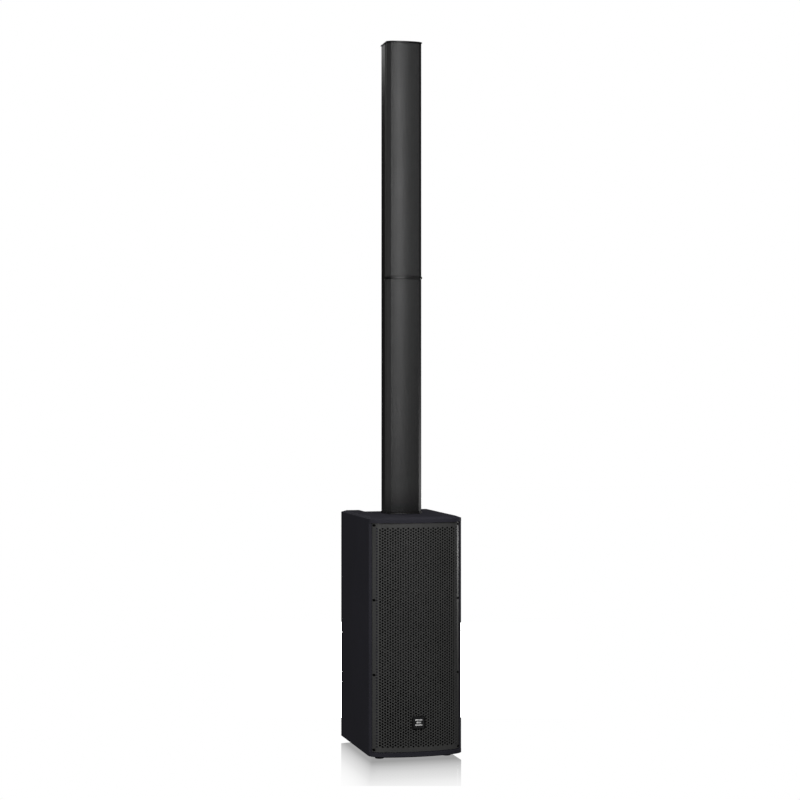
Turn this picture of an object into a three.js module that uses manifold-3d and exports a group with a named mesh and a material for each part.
// Column PA system: a floor-standing bass cabinet with a two-piece loudspeaker column plugged into its top.
// Millimetres. +Z is up, the front faces -Y, +X is to the right as seen from the front.
// The origin is on the floor, under the centre of the cabinet.
import * as THREE from "three";
import { mergeVertices } from "three/addons/utils/BufferGeometryUtils.js";
import Module from "manifold-3d";

const wasm = await Module();
wasm.setup();

// ---------------------------------------------------------------- driving dimensions
const GAP = 0.3; // clearance between neighbouring pieces

const CAB_W = 270.4; // cabinet width
const CAB_D = 384; // cabinet depth, back face to the crown of the bowed front
const SIDE_H = 662.8; // height of the flat sides between the two bevels
const BEVEL_H = 5; // rise of the top bevel
const LOW_BEVEL_H = 3.5; // rise of the bottom bevel
const BEVEL_IN = 13; // how far those bevels run in
const WALL = 15; // cabinet wall
const FOOT_H = 8;
const FOOT_R = 14;
const FOOT_X = 97.5;
const FOOT_FRONT_Y = -127;
const FOOT_BACK_Y = 147;

const Z_BOTTOM = FOOT_H;
const Z_SIDE_LOW = Z_BOTTOM + LOW_BEVEL_H;
const Z_SIDE_TOP = Z_SIDE_LOW + SIDE_H;
const Z_TOP = Z_SIDE_TOP + BEVEL_H;
const BACK = CAB_D / 2;
const FRONT = -CAB_D / 2;

const CORNER_START_Y = -146; // where the flat side starts to turn into the front corner
const CORNER_CONTROL_Y = -168;
const BOW_X = 103; // half width of the bowed part of the front
const BOW_EDGE_Y = -180.5;

const GRILLE_T = 1.6; // perforated steel sheet
const GRILLE_EDGE_X = 126.4;
const GRILLE_EDGE_Y = -156;
const GRILLE_FOLD_X = 105.5; // vertical fold lines that separate the side bands from the bow
const GRILLE_FOLD_Y = -172;
const GRILLE_MARGIN_X = 117.5; // a second fold, where the plain margin with the screws starts
const GRILLE_MARGIN_Y = -165.5;
const FRAME_EDGE_Y = -157.2; // beside the grille the corner is a flat facet that starts here
const FRAME_FACET_X = 133.2; // and ends here
const FRAME_FACET_Y = -152.8;
const FRAME_ROUND_X = 134.5; // a narrow strip takes it over to the side
const FRAME_ROUND_Y = -150.6;
const GRILLE_CROWN_Y = -187;
const GRILLE_Z0 = 24.4;
const GRILLE_Z1 = 663;
const GRILLE_SHADOW = 0.9; // visible gap at the sides and top of the grille
const GRILLE_SHADOW_LOW = 2; // and under it
const SCREW_X = 121.3;
const SCREW_Z0 = 30.2;
const SCREW_PITCH = 209;
const SCREWS_PER_SIDE = 4;
const SCREW_HEAD_R = 2.7;
const SCREW_HEAD_H = 1.4;
const SCREW_SOCKET_R = 1.4;

const BADGE = 37.5; // square badge plate, centred low on the grille
const BADGE_R = 5;
const BADGE_T = 2.4;
const BADGE_Z = 105.5;

const OPENING_X = 112; // half width of the front opening
const OPENING_Z0 = 35;
const OPENING_Z1 = 651;
const BAFFLE_Y0 = -148;
const BAFFLE_T = 15;
const FOAM_T = 4;
const FOAM_GAP = 1;

const WOOFER_R = 102; // 8 inch class
const WOOFER_CUT_R = 93;
const WOOFER_Z = [146, 357];
const PORT_R = 38;
const PORT_LENGTH = 120;
const PORT_Z = 545;

const NOTCH_TOP_X = 84; // hand recess in the rear top edge
const NOTCH_BOTTOM_X = 70;
const NOTCH_DEPTH_Y = 85;
const NOTCH_FLOOR_Z = Z_TOP - 48;
const FINGER_X = 60; // undercut for the finger tips
const FINGER_Y = 14;
const FINGER_Z0 = NOTCH_FLOOR_Z + 4;
const FINGER_Z1 = Z_TOP - 20;
const NOTCH_WALL = 12;

const PANEL_X = 92; // rear amplifier panel: flange half width
const PANEL_Z0 = 120;
const PANEL_Z1 = 440;
const FLANGE_IN = 9;
const FLANGE_T = 3;
const TRAY_DEPTH = 21; // the panel's floor lies this far inside the back face
const FLOOR_T = 3;
const FLOOR_Y = BACK - TRAY_DEPTH; // outer face of the tray floor

const COL_Y = 6; // column centre
const COL_HALF_W = 51.4; // at the front corners, where the column is widest
const COL_FRONT = 49; // column centre to the crown of its front
const COL_BACK = 49;
const COL_BACK_HALF_W = 48.2;
const COL_BACK_CORNER = 6; // chamfer of the rear corners
const COL_WALL = 2.5;
const COL_FLANGE_Y = 7; // the front grille wraps round the sides back to this line
const COL_LIP_X = 40.9; // half width of the bowed part of the front grille
const COL_LIP_Y = 44;
const COL_CORNER_Y = 34; // the slanted lips of the front grille end at this line
const COL_SHEET = 1.3;
const SEGMENT_H = 677.4; // one column segment with its end pieces
const END_T = 4; // lower end piece of the lower segment
const JOINT_T = 3; // the two plates that meet between the segments
const JOINT_OVERHANG = 2.2; // past the column's front corners only
const JOINT_OVERHANG_BACK = 0.2;
const SHEET_END_GAP = 0.8; // dark line between a column grille and its end pieces
const CAP_T = 3.6;
const END_OVERHANG = 1.6;
const CAP_OVERHANG = 2.2;

const SOCKET_X = 36.5;
const SOCKET_Y = 26.5;
const SOCKET_WALL = 4;
const SOCKET_DEPTH = 70;
const SOCKET_FLANGE = 8;
const SOCKET_FLANGE_T = 2;
const SPIGOT_CLEAR = 1;
const SPIGOT_LENGTH = 58;
const SLEEVE_X = 25;
const SLEEVE_Y = 13.5;
const SLEEVE_WALL = 3;
const SLEEVE_DEPTH = 46;
const SLEEVE_CENTRE_Y = 24; // behind the column centre
const UPPER_SPIGOT_LENGTH = 40;

const DRIVERS = 5; // per segment
const DRIVER_PITCH = 127;
const DRIVER_R = 42;
const DRIVER_CUT_R = 37;
const STRIP_FRONT = 31; // driver board: distance of its front face from the column centre
const STRIP_T = 3;
const STRIP_X = 44.3;

// ---------------------------------------------------------------- geometry helpers
const V2 = (x, y) => new THREE.Vector2(x, y);

// A three.js geometry as a manifold solid.
function solid(geometry) {
  const plain = new THREE.BufferGeometry();
  const flat = geometry.index ? geometry.toNonIndexed() : geometry;
  plain.setAttribute("position", flat.getAttribute("position"));
  const merged = mergeVertices(plain, 1e-4);
  return new wasm.Manifold(
    new wasm.Mesh({
      numProp: 3,
      vertProperties: merged.attributes.position.array,
      triVerts: new Uint32Array(merged.index.array),
    }),
  );
}

// A manifold solid as a three.js geometry.
function geometryOf(body) {
  const m = body.getMesh();
  const g = new THREE.BufferGeometry();
  const xyz = new Float32Array(m.numVert * 3);
  for (let i = 0; i < m.numVert; i++) {
    xyz.set(m.vertProperties.subarray(i * m.numProp, i * m.numProp + 3), i * 3);
  }
  g.setAttribute("position", new THREE.BufferAttribute(xyz, 3));
  g.setIndex(new THREE.BufferAttribute(m.triVerts, 1));
  return g;
}

function box(x0, x1, y0, y1, z0, z1) {
  const g = new THREE.BoxGeometry(x1 - x0, y1 - y0, z1 - z0);
  g.translate((x0 + x1) / 2, (y0 + y1) / 2, (z0 + z1) / 2);
  return solid(g);
}

// A plan outline raised from z0 to z1.
function prism(points, z0, z1) {
  const g = new THREE.ExtrudeGeometry(new THREE.Shape(points), { depth: z1 - z0, bevelEnabled: false });
  g.translate(0, 0, z0);
  return solid(g);
}

// An outline drawn in X and Z, running from y0 to y1.
function prismY(points, y0, y1) {
  const g = new THREE.ExtrudeGeometry(new THREE.Shape(points), { depth: y1 - y0, bevelEnabled: false });
  g.rotateX(Math.PI / 2);
  g.translate(0, y1, 0);
  return solid(g);
}

// A closed or axis-to-axis profile of [radius, height] turned about +Z.
function turned(profile, segments) {
  const g = new THREE.LatheGeometry(profile.map(([r, h]) => V2(r, h)), segments);
  g.rotateX(Math.PI / 2);
  return solid(g);
}

// The same, turned about +Y, with the profile's height measured along +Y.
function turnedY(profile, segments) {
  const g = new THREE.LatheGeometry(profile.map(([r, h]) => V2(r, h)), segments);
  return solid(g);
}

function roundedRect(halfX, halfY, r, cx = 0, cy = 0, steps = 3) {
  const points = [];
  [[1, 1, 0], [-1, 1, 90], [-1, -1, 180], [1, -1, 270]].forEach(([sx, sy, start]) => {
    for (let i = 0; i <= steps; i++) {
      const a = THREE.MathUtils.degToRad(start + (90 * i) / steps);
      points.push(V2(cx + sx * (halfX - r) + r * Math.cos(a), cy + sy * (halfY - r) + r * Math.sin(a)));
    }
  });
  return points;
}

// Rings of equal point count at rising heights, joined into one closed body.
function loft(rings) {
  const n = rings[0].points.length;
  const xyz = [];
  const push = (ring, i) => xyz.push(ring.points[i].x, ring.points[i].y, ring.z);
  for (let k = 0; k + 1 < rings.length; k++) {
    for (let i = 0; i < n; i++) {
      const j = (i + 1) % n;
      push(rings[k], i);
      push(rings[k], j);
      push(rings[k + 1], j);
      push(rings[k], i);
      push(rings[k + 1], j);
      push(rings[k + 1], i);
    }
  }
  const cap = (ring, up) => {
    THREE.ShapeUtils.triangulateShape(ring.points, []).forEach(([a, b, c]) => {
      (up ? [a, b, c] : [a, c, b]).forEach((i) => push(ring, i));
    });
  };
  cap(rings[0], false);
  cap(rings[rings.length - 1], true);
  const g = new THREE.BufferGeometry();
  g.setAttribute("position", new THREE.Float32BufferAttribute(xyz, 3));
  return solid(g);
}

const scaled = (points, sx, sy) => points.map((p) => V2(p.x * sx, p.y * sy));
const moved = (points, dx, dy) => points.map((p) => V2(p.x + dx, p.y + dy));
const mirrored = (half) => [...half, ...half.slice().reverse().map((p) => V2(-p.x, p.y))];
const bezier = (a, b, c, n) => new THREE.QuadraticBezierCurve(a, b, c).getPoints(n);

function dedupe(points) {
  return points.filter((p, i) => p.distanceTo(points[(i + 1) % points.length]) > 1e-4);
}

// A strip of even thickness behind an open path that runs from right to left across the front.
function sheet(path, thickness) {
  const inner = path.map((p, i) => {
    const a = path[Math.max(i - 1, 0)];
    const b = path[Math.min(i + 1, path.length - 1)];
    const along = b.clone().sub(a).normalize();
    return V2(p.x + along.y * thickness, p.y - along.x * thickness);
  });
  return { path, inner, outline: [...path, ...inner.slice().reverse()] };
}

function bowPath(edge, crownY, n) {
  return bezier(edge, V2(0, 2 * crownY - edge.y), V2(-edge.x, edge.y), n);
}

// ---------------------------------------------------------------- assembly
const root = new THREE.Group();
root.name = "column_pa_system";

const FINISH = {
  paint: { color: 0x242329, roughness: 0.62, metalness: 0.0 },
  steel: { color: 0x3a3a39, roughness: 0.5, metalness: 0.35 },
  columnMetal: { color: 0x4c4d4f, roughness: 0.42, metalness: 0.5 },
  columnBody: { color: 0x1a1a1c, roughness: 0.35, metalness: 0.3 },
  dark: { color: 0x161617, roughness: 0.55, metalness: 0.0 },
  rubber: { color: 0x101010, roughness: 0.85, metalness: 0.0 },
  board: { color: 0x2a2622, roughness: 0.8, metalness: 0.0 },
  foam: { color: 0x0c0c0c, roughness: 1.0, metalness: 0.0 },
  cone: { color: 0x17181a, roughness: 0.75, metalness: 0.0 },
  basket: { color: 0x202123, roughness: 0.5, metalness: 0.4 },
  zinc: { color: 0x8a8c90, roughness: 0.35, metalness: 0.9 },
  panel: { color: 0x1b1c1f, roughness: 0.5, metalness: 0.3 },
  knob: { color: 0x26272a, roughness: 0.45, metalness: 0.0 },
  alloy: { color: 0x8d9094, roughness: 0.4, metalness: 0.9 },
};

function add(name, body, finish) {
  const mesh = new THREE.Mesh(geometryOf(body), new THREE.MeshStandardMaterial(FINISH[finish]));
  mesh.name = name;
  root.add(mesh);
  return mesh;
}

// ---------------------------------------------------------------- cabinet
const frontHalf = [
  V2(CAB_W / 2, BACK),
  ...bezier(V2(CAB_W / 2, CORNER_START_Y), V2(CAB_W / 2 - 1, CORNER_CONTROL_Y), V2(BOW_X, BOW_EDGE_Y), 6),
];
const bow = bowPath(V2(BOW_X, BOW_EDGE_Y), FRONT, 12).slice(1, -1);
const cabinetOutline = [
  ...frontHalf,
  ...bow,
  ...frontHalf.slice().reverse().map((p) => V2(-p.x, p.y)),
].reverse();
const crownOutline = scaled(
  cabinetOutline,
  (CAB_W / 2 - BEVEL_IN) / (CAB_W / 2),
  (CAB_D / 2 - BEVEL_IN) / (CAB_D / 2),
);

const grillePath = [
  V2(GRILLE_EDGE_X, GRILLE_EDGE_Y),
  V2(GRILLE_MARGIN_X, GRILLE_MARGIN_Y),
  ...bowPath(V2(GRILLE_FOLD_X, GRILLE_FOLD_Y), GRILLE_CROWN_Y, 12),
  V2(-GRILLE_MARGIN_X, GRILLE_MARGIN_Y),
  V2(-GRILLE_EDGE_X, GRILLE_EDGE_Y),
];
const grilleSheet = sheet(grillePath, GRILLE_T);

// The grille's seat: everything in front of a line just behind the sheet and of the two corner facets.
const seatLine = sheet(grillePath, GRILLE_T + GAP).inner;
const seatX = GRILLE_EDGE_X + GRILLE_SHADOW;
const clearX = CAB_W / 2 + 5;
const seatOutline = [
  V2(clearX, FRONT - 20),
  V2(-clearX, FRONT - 20),
  V2(-clearX, FRAME_ROUND_Y),
  V2(-FRAME_ROUND_X, FRAME_ROUND_Y),
  V2(-FRAME_FACET_X, FRAME_FACET_Y),
  V2(-seatX, FRAME_EDGE_Y),
  V2(-seatX, seatLine[0].y),
  ...seatLine.slice().reverse(),
  V2(seatX, seatLine[0].y),
  V2(seatX, FRAME_EDGE_Y),
  V2(FRAME_FACET_X, FRAME_FACET_Y),
  V2(FRAME_ROUND_X, FRAME_ROUND_Y),
  V2(clearX, FRAME_ROUND_Y),
];

const notchBlock = box(
  -NOTCH_TOP_X - NOTCH_WALL,
  NOTCH_TOP_X + NOTCH_WALL,
  BACK - NOTCH_DEPTH_Y - FINGER_Y - NOTCH_WALL,
  BACK,
  NOTCH_FLOOR_Z - NOTCH_WALL,
  Z_TOP,
);
const notch = prismY(
  [
    V2(-NOTCH_BOTTOM_X, NOTCH_FLOOR_Z),
    V2(NOTCH_BOTTOM_X, NOTCH_FLOOR_Z),
    V2(NOTCH_TOP_X + 1, Z_TOP + 4),
    V2(-NOTCH_TOP_X - 1, Z_TOP + 4),
  ],
  BACK - NOTCH_DEPTH_Y,
  BACK + 5,
);

function shellBody() {
  const outer = loft([
    { z: Z_BOTTOM, points: crownOutline },
    { z: Z_SIDE_LOW, points: cabinetOutline },
    { z: Z_SIDE_TOP, points: cabinetOutline },
    { z: Z_TOP, points: crownOutline },
  ]);
  const inX = CAB_W / 2 - WALL;
  const cavity = box(-inX, inX, BAFFLE_Y0 + BAFFLE_T, BACK - WALL, Z_SIDE_LOW + WALL, Z_SIDE_TOP - WALL);
  const opening = box(-OPENING_X, OPENING_X, FRONT - 10, BAFFLE_Y0 + BAFFLE_T + 1, OPENING_Z0, OPENING_Z1);
  const seat = prism(seatOutline, GRILLE_Z0 - GRILLE_SHADOW_LOW, GRILLE_Z1 + GRILLE_SHADOW);
  const finger = box(
    -FINGER_X,
    FINGER_X,
    BACK - NOTCH_DEPTH_Y - FINGER_Y,
    BACK - NOTCH_DEPTH_Y + 1,
    FINGER_Z0,
    FINGER_Z1,
  );
  const flangeSeat = box(
    -PANEL_X - GAP,
    PANEL_X + GAP,
    BACK - FLANGE_T - GAP,
    BACK + 5,
    PANEL_Z0 - GAP,
    PANEL_Z1 + GAP,
  );
  const rearOpening = box(
    -PANEL_X + FLANGE_IN - GAP,
    PANEL_X - FLANGE_IN + GAP,
    BACK - WALL - 1,
    BACK,
    PANEL_Z0 + FLANGE_IN - GAP,
    PANEL_Z1 - FLANGE_IN + GAP,
  );
  const socketSeat = prism(
    roundedRect(SOCKET_X + SOCKET_FLANGE + GAP, SOCKET_Y + SOCKET_FLANGE + GAP, 6, 0, COL_Y),
    Z_TOP - SOCKET_FLANGE_T - GAP,
    Z_TOP + 5,
  );
  const socketHole = prism(
    roundedRect(SOCKET_X + GAP, SOCKET_Y + GAP, 4, 0, COL_Y),
    Z_SIDE_TOP - WALL - 5,
    Z_TOP,
  );
  return outer
    .subtract(cavity.subtract(notchBlock))
    .subtract(opening)
    .subtract(seat)
    .subtract(notch)
    .subtract(finger)
    .subtract(flangeSeat)
    .subtract(rearOpening)
    .subtract(socketSeat)
    .subtract(socketHole);
}

add("cabinet_shell", shellBody(), "paint");

[["left", -1], ["right", 1]].forEach(([side, sx]) => {
  [["front", FOOT_FRONT_Y], ["rear", FOOT_BACK_Y]].forEach(([end, y]) => {
    const foot = turned(
      [[0, 0], [FOOT_R - 2, 0], [FOOT_R - 0.6, 1.4], [FOOT_R, FOOT_H - GAP], [0, FOOT_H - GAP]],
      20,
    ).translate([sx * FOOT_X, y, 0]);
    add(`foot_${end}_${side}`, foot, "rubber");
  });
});

// ---------------------------------------------------------------- front baffle and woofers
function baffleBody() {
  const inset = GAP;
  let board = box(
    -OPENING_X + inset,
    OPENING_X - inset,
    BAFFLE_Y0,
    BAFFLE_Y0 + BAFFLE_T,
    OPENING_Z0 + inset,
    OPENING_Z1 - inset,
  );
  const hole = (r, z) => {
    const cutter = turnedY([[0, 0], [r, 0], [r, BAFFLE_T + 2], [0, BAFFLE_T + 2]], 32);
    return cutter.translate([0, BAFFLE_Y0 - 1, z]);
  };
  WOOFER_Z.forEach((z) => {
    board = board.subtract(hole(WOOFER_CUT_R, z));
  });
  return board.subtract(hole(PORT_R + 3, PORT_Z));
}
add("front_baffle", baffleBody(), "board");

// Heights along +Y are measured from the baffle's front face; the basket hangs behind it.
const BASKET = [
  [WOOFER_CUT_R - 6, -5.5],
  [WOOFER_R, -5.5],
  [WOOFER_R, -GAP],
  [WOOFER_CUT_R - 1, -GAP],
  [WOOFER_CUT_R - 4, 18],
  [62, 52],
  [72, 54],
  [72, 84],
  [20, 84],
  [20, 46],
  [48, 46],
  [WOOFER_CUT_R - 9, 12],
  [WOOFER_CUT_R - 6, -5.5],
];
const CONE = [
  [0, 30],
  [22, 24],
  [28, 30],
  [76, 0],
  [82, -4.5],
  [85, -3],
  [85.4, -0.6],
  [82, 6],
  [40, 40],
  [18.5, 44],
  [18.5, 58],
  [0, 58],
];
["lower", "upper"].forEach((name, i) => {
  const at = [0, BAFFLE_Y0, WOOFER_Z[i]];
  add(`woofer_${name}_basket`, turnedY(BASKET, 24).translate(at), "basket");
  add(`woofer_${name}_cone`, turnedY(CONE, 24).translate(at), "cone");
});

const PORT = [
  [PORT_R - 1, 0],
  [PORT_R + 3, -3.5],
  [PORT_R + 11, -3.5],
  [PORT_R + 11, -GAP],
  [PORT_R + 2.5, -GAP],
  [PORT_R + 2.5, PORT_LENGTH],
  [PORT_R - 1, PORT_LENGTH],
  [PORT_R - 1, 0],
];
add("bass_port", turnedY(PORT, 24).translate([0, BAFFLE_Y0, PORT_Z]), "dark");

// ---------------------------------------------------------------- front grille
const screwZ = (i) => SCREW_Z0 + i * SCREW_PITCH;
// The side band's outward direction, seen from above, on the +X side.
const bandSlope = Math.atan2(GRILLE_MARGIN_Y - GRILLE_EDGE_Y, GRILLE_MARGIN_X - GRILLE_EDGE_X);
const bandTurn = bandSlope + Math.PI;
const bandY = (x) => GRILLE_EDGE_Y + (x - GRILLE_EDGE_X) * Math.tan(bandSlope);

add("front_grille", prism(grilleSheet.outline.slice().reverse(), GRILLE_Z0, GRILLE_Z1), "steel");

const foamPath = bowPath(
  V2(GRILLE_FOLD_X - 3, GRILLE_FOLD_Y + GRILLE_T + FOAM_GAP),
  GRILLE_CROWN_Y + GRILLE_T + FOAM_GAP,
  12,
);
const foamOutline = sheet(foamPath, FOAM_T).outline.slice().reverse();
add("grille_foam", prism(foamOutline, OPENING_Z0 + 2, OPENING_Z1 - 2), "foam");

[["left", -1], ["right", 1]].forEach(([side, sx]) => {
  for (let i = 0; i < SCREWS_PER_SIDE; i++) {
    const head = turnedY(
      [
        [0, 0],
        [SCREW_HEAD_R, 0],
        [SCREW_HEAD_R, -SCREW_HEAD_H * 0.6],
        [SCREW_HEAD_R * 0.75, -SCREW_HEAD_H],
        [SCREW_SOCKET_R, -SCREW_HEAD_H],
        [SCREW_SOCKET_R, -SCREW_HEAD_H * 0.35],
        [0, -SCREW_HEAD_H * 0.35],
      ].reverse(),
      10,
    )
      .translate([0, -GAP, 0])
      .rotate([0, 0, sx * THREE.MathUtils.radToDeg(bandTurn)])
      .translate([sx * SCREW_X, bandY(SCREW_X), screwZ(i)]);
    add(`grille_screw_${side}_${i + 1}`, head, "dark");
  }
});

add(
  "badge_plate",
  prismY(
    roundedRect(BADGE / 2, BADGE / 2, BADGE_R, 0, BADGE_Z),
    GRILLE_CROWN_Y - GAP - BADGE_T,
    GRILLE_CROWN_Y - GAP,
  ),
  "dark",
);

// ---------------------------------------------------------------- column socket in the cabinet top
function socketBody() {
  const flange = prism(
    roundedRect(SOCKET_X + SOCKET_FLANGE, SOCKET_Y + SOCKET_FLANGE, 6, 0, COL_Y),
    Z_TOP - SOCKET_FLANGE_T,
    Z_TOP - GAP,
  );
  const cup = prism(roundedRect(SOCKET_X, SOCKET_Y, 4, 0, COL_Y), Z_TOP - SOCKET_DEPTH, Z_TOP - 1);
  const hollow = prism(
    roundedRect(SOCKET_X - SOCKET_WALL, SOCKET_Y - SOCKET_WALL, 2, 0, COL_Y),
    Z_TOP - SOCKET_DEPTH + SOCKET_WALL,
    Z_TOP + 5,
  );
  return flange.add(cup).subtract(hollow);
}
add("column_socket", socketBody(), "dark");

// ---------------------------------------------------------------- rear amplifier panel
const trayX = PANEL_X - FLANGE_IN;
const trayZ0 = PANEL_Z0 + FLANGE_IN;
const trayZ1 = PANEL_Z1 - FLANGE_IN;

const JACKS = [
  { name: "combo_input_1", x: -42, z: 196 },
  { name: "combo_input_2", x: 0, z: 196 },
  { name: "line_output", x: 42, z: 196 },
];
const JACK_HALF_X = 13;
const JACK_HALF_Z = 15.5;
const JACK_BARREL_R = 11.5;
const JACK_HOLE_R = 9.4;
const JACK_DEPTH = 15;
const JACK_LENGTH = 19;
const JACK_PLATE_T = 2;

const KNOBS = [
  { name: "knob_input_1", x: -42, z: 262 },
  { name: "knob_input_2", x: 0, z: 262 },
  { name: "knob_sub_level", x: 42, z: 262 },
];
const KNOB_R = 9;
const KNOB_H = 14;

const BUTTONS = [
  { name: "button_mode", x: -21, z: 312 },
  { name: "button_ground_lift", x: 21, z: 312 },
];
const BUTTON_HALF = 4;
const BUTTON_OUT = 4.5;
const BUTTON_IN = 6;

const ROCKER = { x: -34, z: 151 };
const ROCKER_HALF_X = 9.5;
const ROCKER_HALF_Z = 6;
const INLET = { x: 30, z: 151 };
const INLET_HALF_X = 24;
const INLET_HALF_Z = 14;
const INLET_POCKET_X = 12;
const INLET_POCKET_Z = 8.2;
const INLET_DEPTH = 16;

function barrelAt(r, x, z, y0, y1) {
  return turnedY([[0, y0], [r, y0], [r, y1], [0, y1]], 20).translate([x, 0, z]);
}

function panelBody() {
  const flange = box(-PANEL_X, PANEL_X, BACK - FLANGE_T, BACK, PANEL_Z0, PANEL_Z1);
  const tray = box(-trayX, trayX, FLOOR_Y - FLOOR_T, BACK - FLANGE_T / 2, trayZ0, trayZ1);
  const hollow = box(
    -trayX + FLOOR_T,
    trayX - FLOOR_T,
    FLOOR_Y,
    BACK + 5,
    trayZ0 + FLOOR_T,
    trayZ1 - FLOOR_T,
  );
  let panel = flange.add(tray).subtract(hollow);
  JACKS.forEach(({ x, z }) => {
    panel = panel.subtract(barrelAt(JACK_BARREL_R + GAP, x, z, FLOOR_Y - 10, FLOOR_Y + 1));
  });
  BUTTONS.forEach(({ x, z }) => {
    const h = BUTTON_HALF + GAP;
    panel = panel.subtract(box(x - h, x + h, FLOOR_Y - 10, FLOOR_Y + 1, z - h, z + h));
  });
  const rx = ROCKER_HALF_X + 0.8;
  const rz = ROCKER_HALF_Z + 0.4;
  panel = panel.subtract(
    box(ROCKER.x - rx, ROCKER.x + rx, FLOOR_Y - 10, FLOOR_Y + 1, ROCKER.z - rz, ROCKER.z + rz),
  );
  const ix = INLET_POCKET_X + 2 + GAP;
  const iz = INLET_POCKET_Z + 2 + GAP;
  return panel.subtract(
    box(INLET.x - ix, INLET.x + ix, FLOOR_Y - 10, FLOOR_Y + 1, INLET.z - iz, INLET.z + iz),
  );
}
add("amp_panel", panelBody(), "panel");

JACKS.forEach(({ name, x, z }) => {
  const plate = prismY(
    roundedRect(JACK_HALF_X, JACK_HALF_Z, 3, x, z),
    FLOOR_Y + GAP,
    FLOOR_Y + GAP + JACK_PLATE_T,
  );
  const barrel = barrelAt(JACK_BARREL_R, x, z, FLOOR_Y + GAP + 1 - JACK_LENGTH, FLOOR_Y + GAP + 1);
  const hole = barrelAt(JACK_HOLE_R, x, z, FLOOR_Y + GAP + JACK_PLATE_T - JACK_DEPTH, FLOOR_Y + 10);
  add(name, plate.add(barrel).subtract(hole), "dark");
});

KNOBS.forEach(({ name, x, z }) => {
  const skirt = turnedY(
    [
      [0, 0],
      [KNOB_R, 0],
      [KNOB_R, 3],
      [KNOB_R - 1.5, 4],
      [KNOB_R - 2.2, KNOB_H - 1],
      [KNOB_R - 3.2, KNOB_H],
      [0, KNOB_H],
    ],
    18,
  );
  const pointer = box(-0.9, 0.9, 3, KNOB_H + 0.5, 0, KNOB_R - 0.8);
  add(name, skirt.add(pointer).translate([x, FLOOR_Y + GAP, z]), "knob");
});

BUTTONS.forEach(({ name, x, z }) => {
  const h = BUTTON_HALF;
  add(name, box(x - h, x + h, FLOOR_Y - BUTTON_IN, FLOOR_Y + BUTTON_OUT, z - h, z + h), "knob");
});

// The rocker tips about a vertical line through its centre and is drawn against one of its two stops.
const ROCKER_TILT = 7;
function rockerBody() {
  const w = ROCKER_HALF_X;
  const outline = [
    V2(-w, 0.8),
    V2(-w * 0.55, -5),
    V2(w * 0.55, -5),
    V2(w, 0.8),
    V2(w, 4.2),
    V2(0, 2.4),
    V2(-w, 4.2),
  ];
  return prism(outline, ROCKER.z - ROCKER_HALF_Z, ROCKER.z + ROCKER_HALF_Z)
    .rotate([0, 0, ROCKER_TILT])
    .translate([ROCKER.x, FLOOR_Y, 0]);
}
add("power_rocker", rockerBody(), "dark");

function inletBody() {
  const plate = prismY(
    roundedRect(INLET_HALF_X, INLET_HALF_Z, 3, INLET.x, INLET.z),
    FLOOR_Y + GAP,
    FLOOR_Y + GAP + 2.5,
  );
  const px = INLET_POCKET_X;
  const pz = INLET_POCKET_Z;
  const shroud = box(
    INLET.x - px - 2,
    INLET.x + px + 2,
    FLOOR_Y + 3 - INLET_DEPTH - 2.5,
    FLOOR_Y + 1,
    INLET.z - pz - 2,
    INLET.z + pz + 2,
  );
  const pocketY = FLOOR_Y + 3 - INLET_DEPTH;
  const pocket = box(INLET.x - px, INLET.x + px, pocketY, FLOOR_Y + 10, INLET.z - pz, INLET.z + pz);
  const pinY = FLOOR_Y - INLET_DEPTH;
  let inlet = plate.add(shroud).subtract(pocket);
  [-7, 0, 7].map((dx) => INLET.x + dx).forEach((x) => {
    inlet = inlet.add(box(x - 1, x + 1, pinY, FLOOR_Y - 1, INLET.z - 2, INLET.z + 2));
  });
  return inlet;
}
add("mains_inlet", inletBody(), "dark");

// A finned block carries the electronics behind the panel.
const AMP_Y0 = 84;
const AMP_Y1 = 146;
const AMP_X = 76;
const AMP_Z0 = 140;
const AMP_Z1 = 420;
const FIN_PITCH = 19;
const FIN_SLOT = 9;
const FIN_DEPTH = 34;
function ampBody() {
  let block = box(-AMP_X, AMP_X, AMP_Y0, AMP_Y1, AMP_Z0, AMP_Z1);
  for (let x = -AMP_X + FIN_PITCH / 2; x + FIN_SLOT < AMP_X; x += FIN_PITCH) {
    block = block.subtract(box(x, x + FIN_SLOT, AMP_Y0 - 1, AMP_Y0 + FIN_DEPTH, AMP_Z0 - 1, AMP_Z1 + 1));
  }
  return block;
}
add("amp_module", ampBody(), "alloy");

const PANEL_SCREW_IN = 4.5;
[["left", -1], ["right", 1]].forEach(([side, sx]) => {
  [["lower", PANEL_Z0 + 14], ["upper", PANEL_Z1 - 14]].forEach(([end, z]) => {
    const at = [sx * (PANEL_X - PANEL_SCREW_IN), BACK, z];
    const head = turnedY([[0, -1.4], [3, -1.4], [3, 0], [0, 0]], 12).translate(at);
    const seat = turnedY([[0, -1.7], [3.3, -1.7], [3.3, 1], [0, 1]], 12).translate(at);
    const panel = root.getObjectByName("amp_panel");
    panel.geometry = geometryOf(solid(panel.geometry).subtract(seat));
    add(`panel_screw_${end}_${side}`, head, "zinc");
  });
});

// ---------------------------------------------------------------- loudspeaker column
// Half width of the column's tapering sides at a distance behind its centre.
function columnSide(y) {
  const taper = (COL_HALF_W - COL_BACK_HALF_W) / (COL_BACK - COL_BACK_CORNER + COL_CORNER_Y);
  return COL_HALF_W - taper * (y + COL_CORNER_Y);
}

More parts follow.
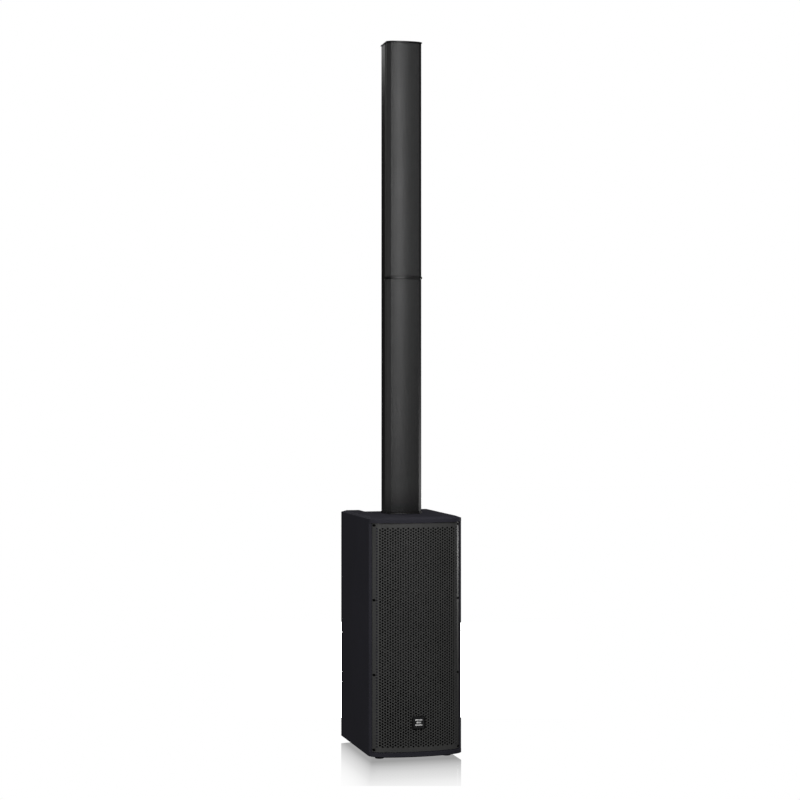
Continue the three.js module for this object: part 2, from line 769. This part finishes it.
const frontCorner = [
  V2(COL_HALF_W - 0.1, -COL_CORNER_Y + 1.4),
  V2(COL_HALF_W - 1, -COL_CORNER_Y - 1),
];
const columnFrontPath = [
  V2(columnSide(-COL_FLANGE_Y), -COL_FLANGE_Y),
  ...frontCorner,
  V2(COL_LIP_X, -COL_LIP_Y),
  ...bowPath(V2(COL_LIP_X, -COL_LIP_Y), -COL_FRONT, 10).slice(1, -1),
  V2(-COL_LIP_X, -COL_LIP_Y),
  ...frontCorner.slice().reverse().map((p) => V2(-p.x, p.y)),
  V2(-columnSide(-COL_FLANGE_Y), -COL_FLANGE_Y),
];
const columnGrille = moved(sheet(columnFrontPath, COL_SHEET).outline.slice().reverse(), 0, COL_Y);

const armX = columnSide(-COL_FLANGE_Y) - COL_SHEET - GAP - 0.4;
const armFront = -COL_CORNER_Y + 2.5;
// The extruded body is a channel that is open at the front, with two arms inside the grille's flanges.
const channelOuter = [
  V2(armX - 1, armFront),
  V2(armX, -COL_FLANGE_Y + GAP),
  V2(columnSide(-COL_FLANGE_Y + GAP), -COL_FLANGE_Y + GAP),
  V2(COL_BACK_HALF_W, COL_BACK - COL_BACK_CORNER),
  V2(COL_BACK_HALF_W - COL_BACK_CORNER, COL_BACK),
];
const channelInner = [
  V2(armX - 1 - COL_WALL, armFront),
  V2(armX - COL_WALL, -COL_FLANGE_Y + GAP),
  V2(columnSide(8) - COL_WALL, 8),
  V2(COL_BACK_HALF_W - COL_WALL, COL_BACK - COL_BACK_CORNER - 1),
  V2(COL_BACK_HALF_W - COL_BACK_CORNER - 1, COL_BACK - COL_WALL),
];
const channelOutline = moved([...mirrored(channelOuter), ...mirrored(channelInner).reverse()], 0, COL_Y);

// The whole section of the column, grown by an overhang, for the end pieces.
function endOutline(overhang, overhangBack = overhang) {
  const half = [
    ...frontCorner.slice().reverse(),
    V2(COL_BACK_HALF_W, COL_BACK - COL_BACK_CORNER),
    V2(COL_BACK_HALF_W - COL_BACK_CORNER, COL_BACK),
  ];
  const front = bowPath(V2(COL_LIP_X, -COL_LIP_Y), -COL_FRONT, 10).slice().reverse();
  const back = half.slice().reverse().map((p) => V2(-p.x, p.y));
  const grown = dedupe([...front, ...half, ...back]).map((p) => {
    const past = p.y < 0 ? overhang : overhangBack;
    return V2(p.x * (1 + past / COL_HALF_W), p.y * (1 + past / COL_FRONT));
  });
  return moved(grown, 0, COL_Y);
}

function driverStrip(z0, z1, centres) {
  const y0 = COL_Y - STRIP_FRONT;
  let board = box(-STRIP_X, STRIP_X, y0, y0 + STRIP_T, z0, z1);
  centres.forEach((z) => {
    board = board.subtract(barrelAt(DRIVER_CUT_R, 0, z, y0 - 1, y0 + STRIP_T + 1));
  });
  return board;
}

const DRIVER = [
  [0, 5],
  [9, 3.4],
  [12, 6],
  [30, -1.5],
  [35, -2],
  [DRIVER_R, -2],
  [DRIVER_R, -GAP],
  [DRIVER_CUT_R - 1, -GAP],
  [DRIVER_CUT_R - 2, 8],
  [24, 18],
  [24, 36],
  [0, 36],
];
const TWEETER = [
  [0, 12],
  [7, 9],
  [12, 9],
  [30, -2],
  [DRIVER_R, -2],
  [DRIVER_R, -GAP],
  [DRIVER_CUT_R - 1, -GAP],
  [20, 20],
  [20, 38],
  [0, 38],
];

function segment(label, z0, parts) {
  const bodyZ0 = z0 + parts.bottomT + GAP;
  const bodyZ1 = z0 + SEGMENT_H - parts.topT - GAP;
  const middle = (bodyZ0 + bodyZ1) / 2;
  const centres = [...Array(DRIVERS).keys()].map((i) => middle + (i - (DRIVERS - 1) / 2) * DRIVER_PITCH);
  add(`${label}_column_body`, prism(channelOutline.slice(), bodyZ0, bodyZ1), "columnBody");
  const sheetZ0 = z0 + parts.bottomT + SHEET_END_GAP;
  const sheetZ1 = z0 + SEGMENT_H - parts.topT - SHEET_END_GAP;
  add(`${label}_column_grille`, prism(columnGrille.slice(), sheetZ0, sheetZ1), "columnMetal");
  add(`${label}_driver_board`, driverStrip(bodyZ0 + 1, bodyZ1 - 1, centres), "board");
  centres.forEach((z, i) => {
    const horn = parts.tweeterAt === i;
    const name = horn ? `${label}_tweeter` : `${label}_driver_${i + 1}`;
    add(name, turnedY(horn ? TWEETER : DRIVER, 16).translate([0, COL_Y - STRIP_FRONT, z]), "cone");
  });
}

const Z_LOWER = Z_TOP + GAP;
const Z_UPPER = Z_LOWER + SEGMENT_H;
segment("lower", Z_LOWER, { bottomT: END_T, topT: JOINT_T, tweeterAt: -1 });
segment("upper", Z_UPPER + GAP, { bottomT: JOINT_T, topT: CAP_T, tweeterAt: 2 });

function plug(halfX, halfY, cy, zTop, length) {
  return loft([
    { z: zTop - length, points: roundedRect(halfX - 2, halfY - 2, 2, 0, cy) },
    { z: zTop - length + 4, points: roundedRect(halfX, halfY, 2, 0, cy) },
    { z: zTop, points: roundedRect(halfX, halfY, 2, 0, cy) },
  ]);
}

// Lower end piece with the long plug that stands in the cabinet's socket.
const spigotX = SOCKET_X - SOCKET_WALL - SPIGOT_CLEAR;
const spigotY = SOCKET_Y - SOCKET_WALL - SPIGOT_CLEAR;
add(
  "lower_column_foot",
  prism(endOutline(END_OVERHANG), Z_LOWER, Z_LOWER + END_T).add(
    plug(spigotX, spigotY, COL_Y, Z_LOWER + 1, SPIGOT_LENGTH),
  ),
  "dark",
);

// Upper end piece of the lower segment, with the sleeve that takes the upper segment's plug.
const sleeveY = COL_Y + SLEEVE_CENTRE_Y;
const jointTop = Z_LOWER + SEGMENT_H;
const sleeveOuter = prism(
  roundedRect(SLEEVE_X, SLEEVE_Y, 3, 0, sleeveY),
  jointTop - SLEEVE_DEPTH,
  jointTop - 1,
);
const sleeveHollow = prism(
  roundedRect(SLEEVE_X - SLEEVE_WALL, SLEEVE_Y - SLEEVE_WALL, 2, 0, sleeveY),
  jointTop - SLEEVE_DEPTH + SLEEVE_WALL,
  jointTop + 5,
);
add(
  "lower_column_joint_plate",
  prism(endOutline(JOINT_OVERHANG, JOINT_OVERHANG_BACK), jointTop - JOINT_T, jointTop)
    .add(sleeveOuter)
    .subtract(sleeveHollow),
  "dark",
);

const upperBottom = Z_UPPER + GAP;
add(
  "upper_column_joint_plate",
  prism(endOutline(JOINT_OVERHANG, JOINT_OVERHANG_BACK), upperBottom, upperBottom + JOINT_T).add(
    plug(
      SLEEVE_X - SLEEVE_WALL - SPIGOT_CLEAR,
      SLEEVE_Y - SLEEVE_WALL - SPIGOT_CLEAR,
      sleeveY,
      upperBottom + 1,
      UPPER_SPIGOT_LENGTH,
    ),
  ),
  "dark",
);

const upperTop = upperBottom + SEGMENT_H;
add("column_top_cap", prism(endOutline(CAP_OVERHANG), upperTop - CAP_T, upperTop), "dark");

export default root;
